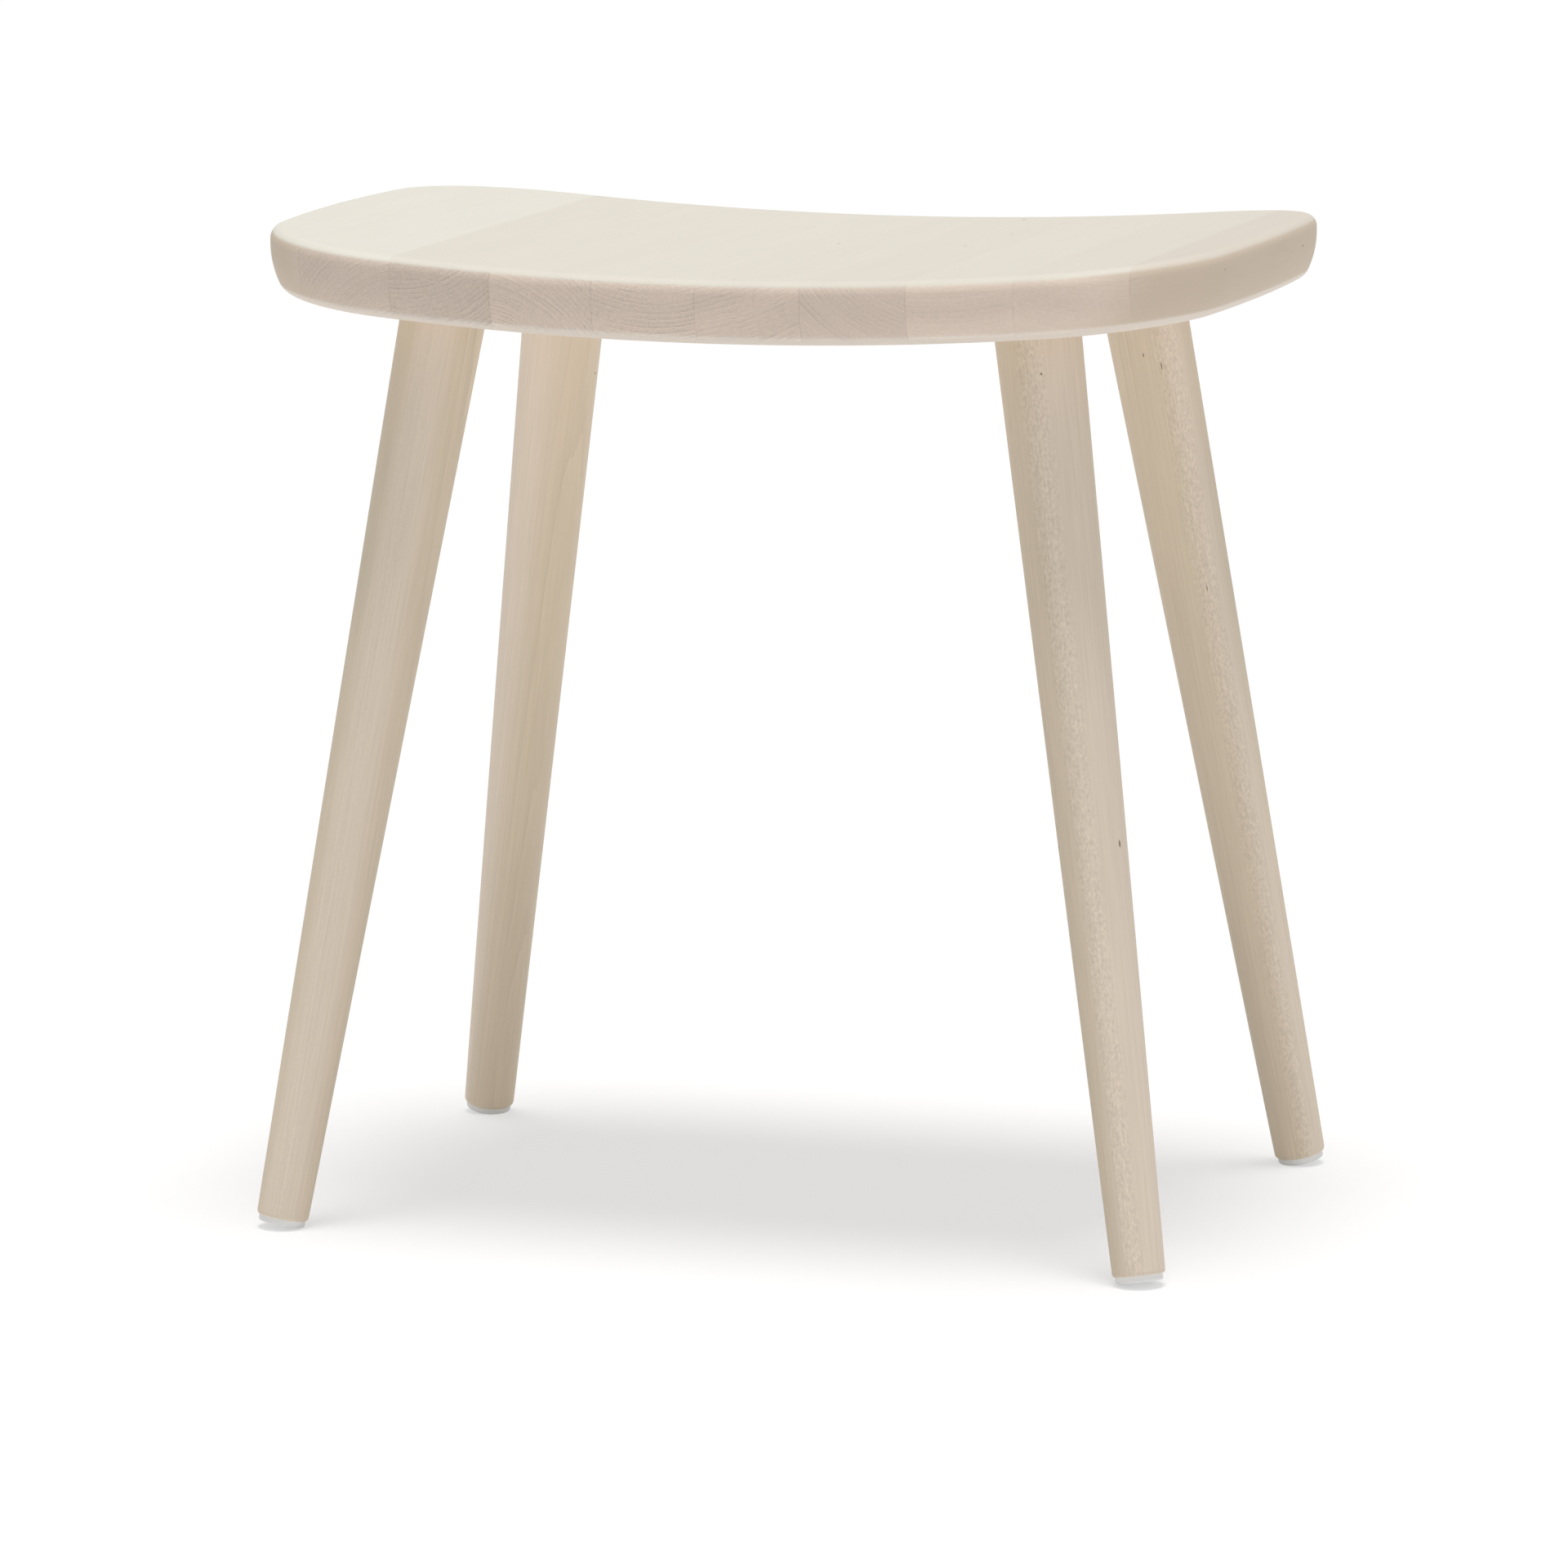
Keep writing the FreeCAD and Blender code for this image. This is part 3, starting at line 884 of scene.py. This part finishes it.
class StoolSeatSettings(bpy.types.PropertyGroup):
    """Sizes of the seat."""

    side_bow: length_setting("Side Bow Radius", 2.4, "Radius of the long sides of the outline")
    end_bow: length_setting("End Bow Radius", 0.9, "Radius of the two ends of the outline")
    corner: length_setting("Corner Radius", 0.075, "Radius between a side and an end")
    thickness: length_setting("Thickness", 0.0285, "Thickness of the seat")
    saddle_radius: length_setting("Saddle Radius", 1.85, "Radius of the hollow of the top")
    top_edge: length_setting("Top Edge Radius", 0.006, "Rounding of the upper edge")
    upright: length_setting("Upright Band", 0.0025, "Height of the upright part of the edge")
    undercut: length_setting("Undercut Radius", 0.0375, "Arc on which the edge curls in")
    bottom_edge: length_setting("Bottom Edge Radius", 0.0065, "Rounding of the lower edge")


class StoolLegSettings(bpy.types.PropertyGroup):
    """Stance of the legs and the rounding of their feet."""

    foot_spread_x: length_setting("Foot Spread X", 0.404, "Between leg axes on the floor, in width")
    foot_spread_y: length_setting("Foot Spread Y", 0.272, "Between leg axes on the floor, in depth")
    socket_spread_x: length_setting("Socket Spread X", 0.277, "Between leg axes at the seat, in width")
    socket_spread_y: length_setting("Socket Spread Y", 0.164, "Between leg axes at the seat, in depth")
    foot_round: length_setting("Foot Rounding", 0.001, "How far in the rounding reaches")
    foot_round_height: length_setting("Foot Rounding Height", 0.0017, "How far up the rounding reaches")


class StoolWoodSettings(bpy.types.PropertyGroup):
    """Colours and grain of the birch."""

    cream: colour_setting("Cream", (0.85, 0.815, 0.72), "Top of the seat in the palest staves")
    warm_cream: colour_setting("Warm Cream", (0.785, 0.715, 0.62), "Top of the seat in the warmest stave")
    # The underside, edge and side edge colours are painted shade, darker and warmer than the top where
    # faces turn from the light above; the edge is partly the end grain's own tone
    underside: colour_setting("Underside", (0.86, 0.765, 0.67), "Underside of the seat")
    edge: colour_setting("Edge", (0.77, 0.645, 0.545), "Edge of the seat, across the grain")
    shaded_side_edge: colour_setting("Side Edge", (0.71, 0.59, 0.465), "Edge of the seat, along the grain")
    leg_pink: colour_setting("Leg Pink", (0.84, 0.72, 0.59), "Pinkish growth in the legs")
    leg_tan: colour_setting("Leg Tan", (0.765, 0.65, 0.5), "Tan growth in the legs")
    fleck: colour_setting("Flecks", (0.20, 0.12, 0.07), "Pith flecks, small knots and glue lines")
    ring_width: length_setting("Ring Width", 0.0021, "Average width of a growth ring")
    roughness: share_setting("Roughness", 0.55, "Roughness of the oiled surface")


class StoolGlideSettings(bpy.types.PropertyGroup):
    """Sizes and colours of the glides and their nails."""

    diameter: length_setting("Diameter", 0.021, "Diameter of a glide")
    edge: length_setting("Edge Radius", 0.0008, "Rounding of the glide's lower edge")
    recess: length_setting("Recess Diameter", 0.0068, "Recess round the nail head")
    recess_depth: length_setting("Recess Depth", 0.0016, "Depth of the recess")
    nail_head: length_setting("Nail Head", 0.006, "Diameter of the nail's head")
    nail_thickness: length_setting("Nail Head Thickness", 0.001, "Thickness of the nail's head")
    colour: colour_setting("Glide Colour", (0.95, 0.95, 0.94), "Colour of the plastic")
    nail_colour: colour_setting("Nail Colour", (0.60, 0.60, 0.58), "Colour of the nail's plating")


class StoolStageSettings(bpy.types.PropertyGroup):
    """Floor, lights and camera."""

    floor: share_setting("Floor", 0.85, "How much light the floor throws back")
    whiteness: share_setting("Whiteness", 0.5, "How far the floor's picture is lifted to white")
    ambient: number_setting("Ambient", 0.42, "Strength of the even light from all round")
    above: number_setting("Lamp Above", 1.85, "Strength of the broad lamp overhead")
    side: number_setting("Side Fill", 0.18, "Strength of the broad fill from the right")
    distance: length_setting("Camera Distance", 4.103, "From the camera to the stool's middle")
    lens: number_setting("Lens", 206.6, "Focal length in millimetres", unit="CAMERA")


class STOOL_OT_seat(bpy.types.Operator):
    """Build the staves of the seat"""

    bl_idname = "stool.seat"
    bl_label = "Seat Staves"

    def execute(self, context):
        seat = context.scene.stool_seat
        wood = context.scene.stool_wood
        section = section_mesh(seat)
        common = outline_values(seat)
        common["Saddle Radius"] = seat.saddle_radius
        common["Saddle Axis"] = saddle_axis(seat)
        tree = stave_tree(common)
        upright = Matrix.Rotation(-math.pi / 2, 4, "X")
        for index, name in enumerate(STAVES):
            low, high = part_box(name)
            right, up, *log = STAVE_LOGS[name]
            middle = (low + high) / 2
            heart = Vector((middle.x + right * MM, LOG_STEP * index, middle.z + up * MM))
            finish = stave_birch(name, upright @ Matrix.Translation(-heart), wood, log, (low.x, high.x))
            rounded = name in (STAVES[0], STAVES[-1])
            values = {
                **common,
                "Inner Edge": high.x if middle.x < 0 else low.x,
                "Outer Edge": low.x if middle.x < 0 else high.x,
                "Rounded End": float(rounded),
                "Columns": END_COLUMNS if rounded else MIDDLE_COLUMNS,
                "Finish": finish,
            }
            piece = grow(section, f"birch_{name}", tree, values)
            finish_piece(piece, "seat_birch", name)
        return {"FINISHED"}


class STOOL_OT_legs(bpy.types.Operator):
    """Build the four turned legs"""

    bl_idname = "stool.legs"
    bl_label = "Legs"

    def execute(self, context):
        wood = context.scene.stool_wood
        legs = context.scene.stool_legs
        for corner in CORNERS:
            node = f"leg_{corner}"
            distance, bearing, run_out, *band = LEG_LOGS[corner]
            angle = math.radians(bearing)
            heart = Vector((math.cos(angle), math.sin(angle), 0)) * distance * MM
            tilt = Matrix.Rotation(run_out, 4, (-heart.y, heart.x, 0))
            to_log = Matrix.Translation(-heart) @ tilt @ leg_matrix(corner).inverted()
            finish = leg_birch(node, to_log, wood, (distance, *band))
            section = packed_section(node, corner)
            radius, foot = section[1][0], section[0][1]
            edge = rounded_foot(radius, foot, legs.foot_round, legs.foot_round_height)
            points = [(0, foot), *edge, *section[2:], (0, section[-1][1])]
            piece = turn_piece(f"birch_{node}", points, corner, finish)
            finish_piece(piece, "leg_birch", node)
        return {"FINISHED"}


class STOOL_OT_glides(bpy.types.Operator):
    """Build the glide under each leg"""

    bl_idname = "stool.glides"
    bl_label = "Glides"

    def execute(self, context):
        glide = context.scene.stool_glide
        finish = glide_plastic(glide.colour)
        for corner in CORNERS:
            node = f"glide_{corner}"
            section = packed_section(node, corner)
            points = glide_points(glide, section[0][1], section[-1][1])
            piece = turn_piece(f"round_{node}", points, corner, finish)
            # What would lie below the floor is worn flat on it
            for vertex in piece.data.vertices:
                vertex.co.z = max(vertex.co.z, 0)
            finish_piece(piece, "glide_plastic", node)
        return {"FINISHED"}


class STOOL_OT_nails(bpy.types.Operator):
    """Build the nail head in each glide"""

    bl_idname = "stool.nails"
    bl_label = "Glide Nails"

    def execute(self, context):
        glide = context.scene.stool_glide
        depth = glide.recess_depth - glide.nail_thickness / 2
        places = []
        leans = []
        for corner in CORNERS:
            matrix = leg_matrix(corner)
            low = packed_section(f"glide_{corner}", corner)[0][1]
            places.append(matrix @ Vector((0, 0, low + depth)))
            leans.extend(matrix.to_3x3() @ Vector((0, 0, 1)))
        mesh = bpy.data.meshes.new("nail_places")
        mesh.from_pydata(places, [], [])
        lean = mesh.attributes.new("lean", "FLOAT_VECTOR", "POINT")
        lean.data.foreach_set("vector", leans)
        values = {
            "Head Diameter": glide.nail_head,
            "Head Thickness": glide.nail_thickness,
            "Finish": nail_zinc(glide.nail_colour),
        }
        piece = grow(mesh, "glide_nail_heads", nail_tree(), values)
        finish_piece(piece, None)
        return {"FINISHED"}


class STOOL_OT_stage(bpy.types.Operator):
    """Set the floor, the lights and the camera"""

    bl_idname = "stool.stage"
    bl_label = "Stage"

    def execute(self, context):
        stage = context.scene.stool_stage
        context.scene.view_settings.view_transform = "Standard"
        add_floor(context.scene, stage)
        add_lights(context.scene, stage)
        add_camera(context.scene, stage)
        return {"FINISHED"}


def add_floor(scene, stage):
    """A wide pale floor that shows white in the picture and keeps the stool's shadow."""
    mesh = bpy.data.meshes.new("floor")
    corners = [(x * FLOOR_REACH, y * FLOOR_REACH, 0) for x, y in ((-1, -1), (1, -1), (1, 1), (-1, 1))]
    mesh.from_pydata(corners, [], [(0, 1, 2, 3)])
    floor = bpy.data.objects.new("floor", mesh)
    scene.collection.objects.link(floor)
    material, tree, surface, _ = new_material("studio_floor")
    path = place(tree, "ShaderNodeLightPath")
    seen = Field(tree, path.outputs["Is Camera Ray"]).calc("MAXIMUM", path.outputs["Is Glossy Ray"])
    seen = seen.calc("MAXIMUM", path.outputs["Is Transmission Ray"])
    dimmed = seen * (1 - stage.whiteness - stage.floor) + stage.floor
    grey = place(tree, "ShaderNodeCombineColor", {"Red": dimmed, "Green": dimmed, "Blue": dimmed})
    join(tree, grey.outputs[0], surface.inputs["Base Color"])
    surface.inputs["Roughness"].default_value = 1
    surface.inputs["Specular IOR Level"].default_value = 0
    surface.inputs["Emission Color"].default_value = (1, 1, 1, 1)
    join(tree, seen * stage.whiteness, surface.inputs["Emission Strength"])
    mesh.materials.append(material)


def add_sun(scene, name, strength, spread, towards):
    """A broad soft lamp, far off in the given direction."""
    lamp = bpy.data.lights.new(name, "SUN")
    lamp.energy = strength
    lamp.angle = math.radians(spread)
    sun = bpy.data.objects.new(name, lamp)
    sun.rotation_euler = Vector(towards).to_track_quat("Z", "Y").to_euler()
    scene.collection.objects.link(sun)


def add_lights(scene, stage):
    """Even light from all round, a broad lamp overhead and a weak fill from the right."""
    world = bpy.data.worlds.new("studio")
    world.use_nodes = True
    tree = world.node_tree
    path = place(tree, "ShaderNodeLightPath")
    seen = Field(tree, path.outputs["Is Camera Ray"])
    background = tree.nodes["Background"]
    background.inputs["Color"].default_value = (1, 1, 1, 1)
    join(tree, seen * (1 - stage.ambient) + stage.ambient, background.inputs["Strength"])
    scene.world = world
    for name, (strength, spread, towards) in LAMPS.items():
        add_sun(scene, name, getattr(stage, strength), spread, towards)


def add_camera(scene, stage):
    """The camera at the photograph's place: a little from the right and above, far off."""
    level = math.cos(CAMERA_ELEVATION)
    sine = math.sin(CAMERA_AZIMUTH)
    cosine = math.cos(CAMERA_AZIMUTH)
    back = Vector((sine * level, -cosine * level, math.sin(CAMERA_ELEVATION)))
    right = Vector((cosine, sine, 0))
    axes = Matrix((right, back.cross(right), back)).transposed() @ Matrix.Rotation(CAMERA_ROLL, 3, "Z")
    camera = bpy.data.objects.new("camera", bpy.data.cameras.new("camera"))
    camera.data.lens = stage.lens
    camera.data.sensor_width = SENSOR_WIDTH
    camera.matrix_world = Matrix.Translation(CAMERA_AIM + back * stage.distance) @ axes.to_4x4()
    scene.collection.objects.link(camera)
    scene.camera = camera


PANEL_ROWS = (
    ("Seat", "stool_seat", ("stool.seat",)),
    ("Legs", "stool_legs", ("stool.legs",)),
    ("Birch", "stool_wood", ()),
    ("Glides", "stool_glide", ("stool.glides", "stool.nails")),
    ("Stage", "stool_stage", ("stool.stage",)),
)


class STOOL_PT_panel(bpy.types.Panel):
    """The stool's sizes and the steps that build it"""

    bl_label = "Low Stool"
    bl_idname = "STOOL_PT_panel"
    bl_space_type = "VIEW_3D"
    bl_region_type = "UI"
    bl_category = "Stool"

    def draw(self, context):
        for label, settings, operators in PANEL_ROWS:
            box = self.layout.box()
            box.label(text=label)
            group = getattr(context.scene, settings)
            for name in group.__annotations__:
                box.prop(group, name)
            for operator in operators:
                box.operator(operator)


SETTINGS = {
    "stool_seat": StoolSeatSettings,
    "stool_legs": StoolLegSettings,
    "stool_wood": StoolWoodSettings,
    "stool_glide": StoolGlideSettings,
    "stool_stage": StoolStageSettings,
}
OPERATORS = (STOOL_OT_seat, STOOL_OT_legs, STOOL_OT_glides, STOOL_OT_nails, STOOL_OT_stage)
CLASSES = (*SETTINGS.values(), *OPERATORS, STOOL_PT_panel)


def register():
    """Register the classes and hang the settings on the scene."""
    for item in CLASSES:
        bpy.utils.register_class(item)
    for name, group in SETTINGS.items():
        setattr(bpy.types.Scene, name, bpy.props.PointerProperty(type=group))


def unregister():
    """Take the settings off the scene and unregister the classes."""
    for name in SETTINGS:
        delattr(bpy.types.Scene, name)
    for item in reversed(CLASSES):
        bpy.utils.unregister_class(item)


def main():
    """Build the stool and its studio."""
    register()
    bpy.ops.stool.seat()
    bpy.ops.stool.legs()
    bpy.ops.stool.glides()
    bpy.ops.stool.nails()
    bpy.ops.stool.stage()


if __name__ == "__main__":
    main()
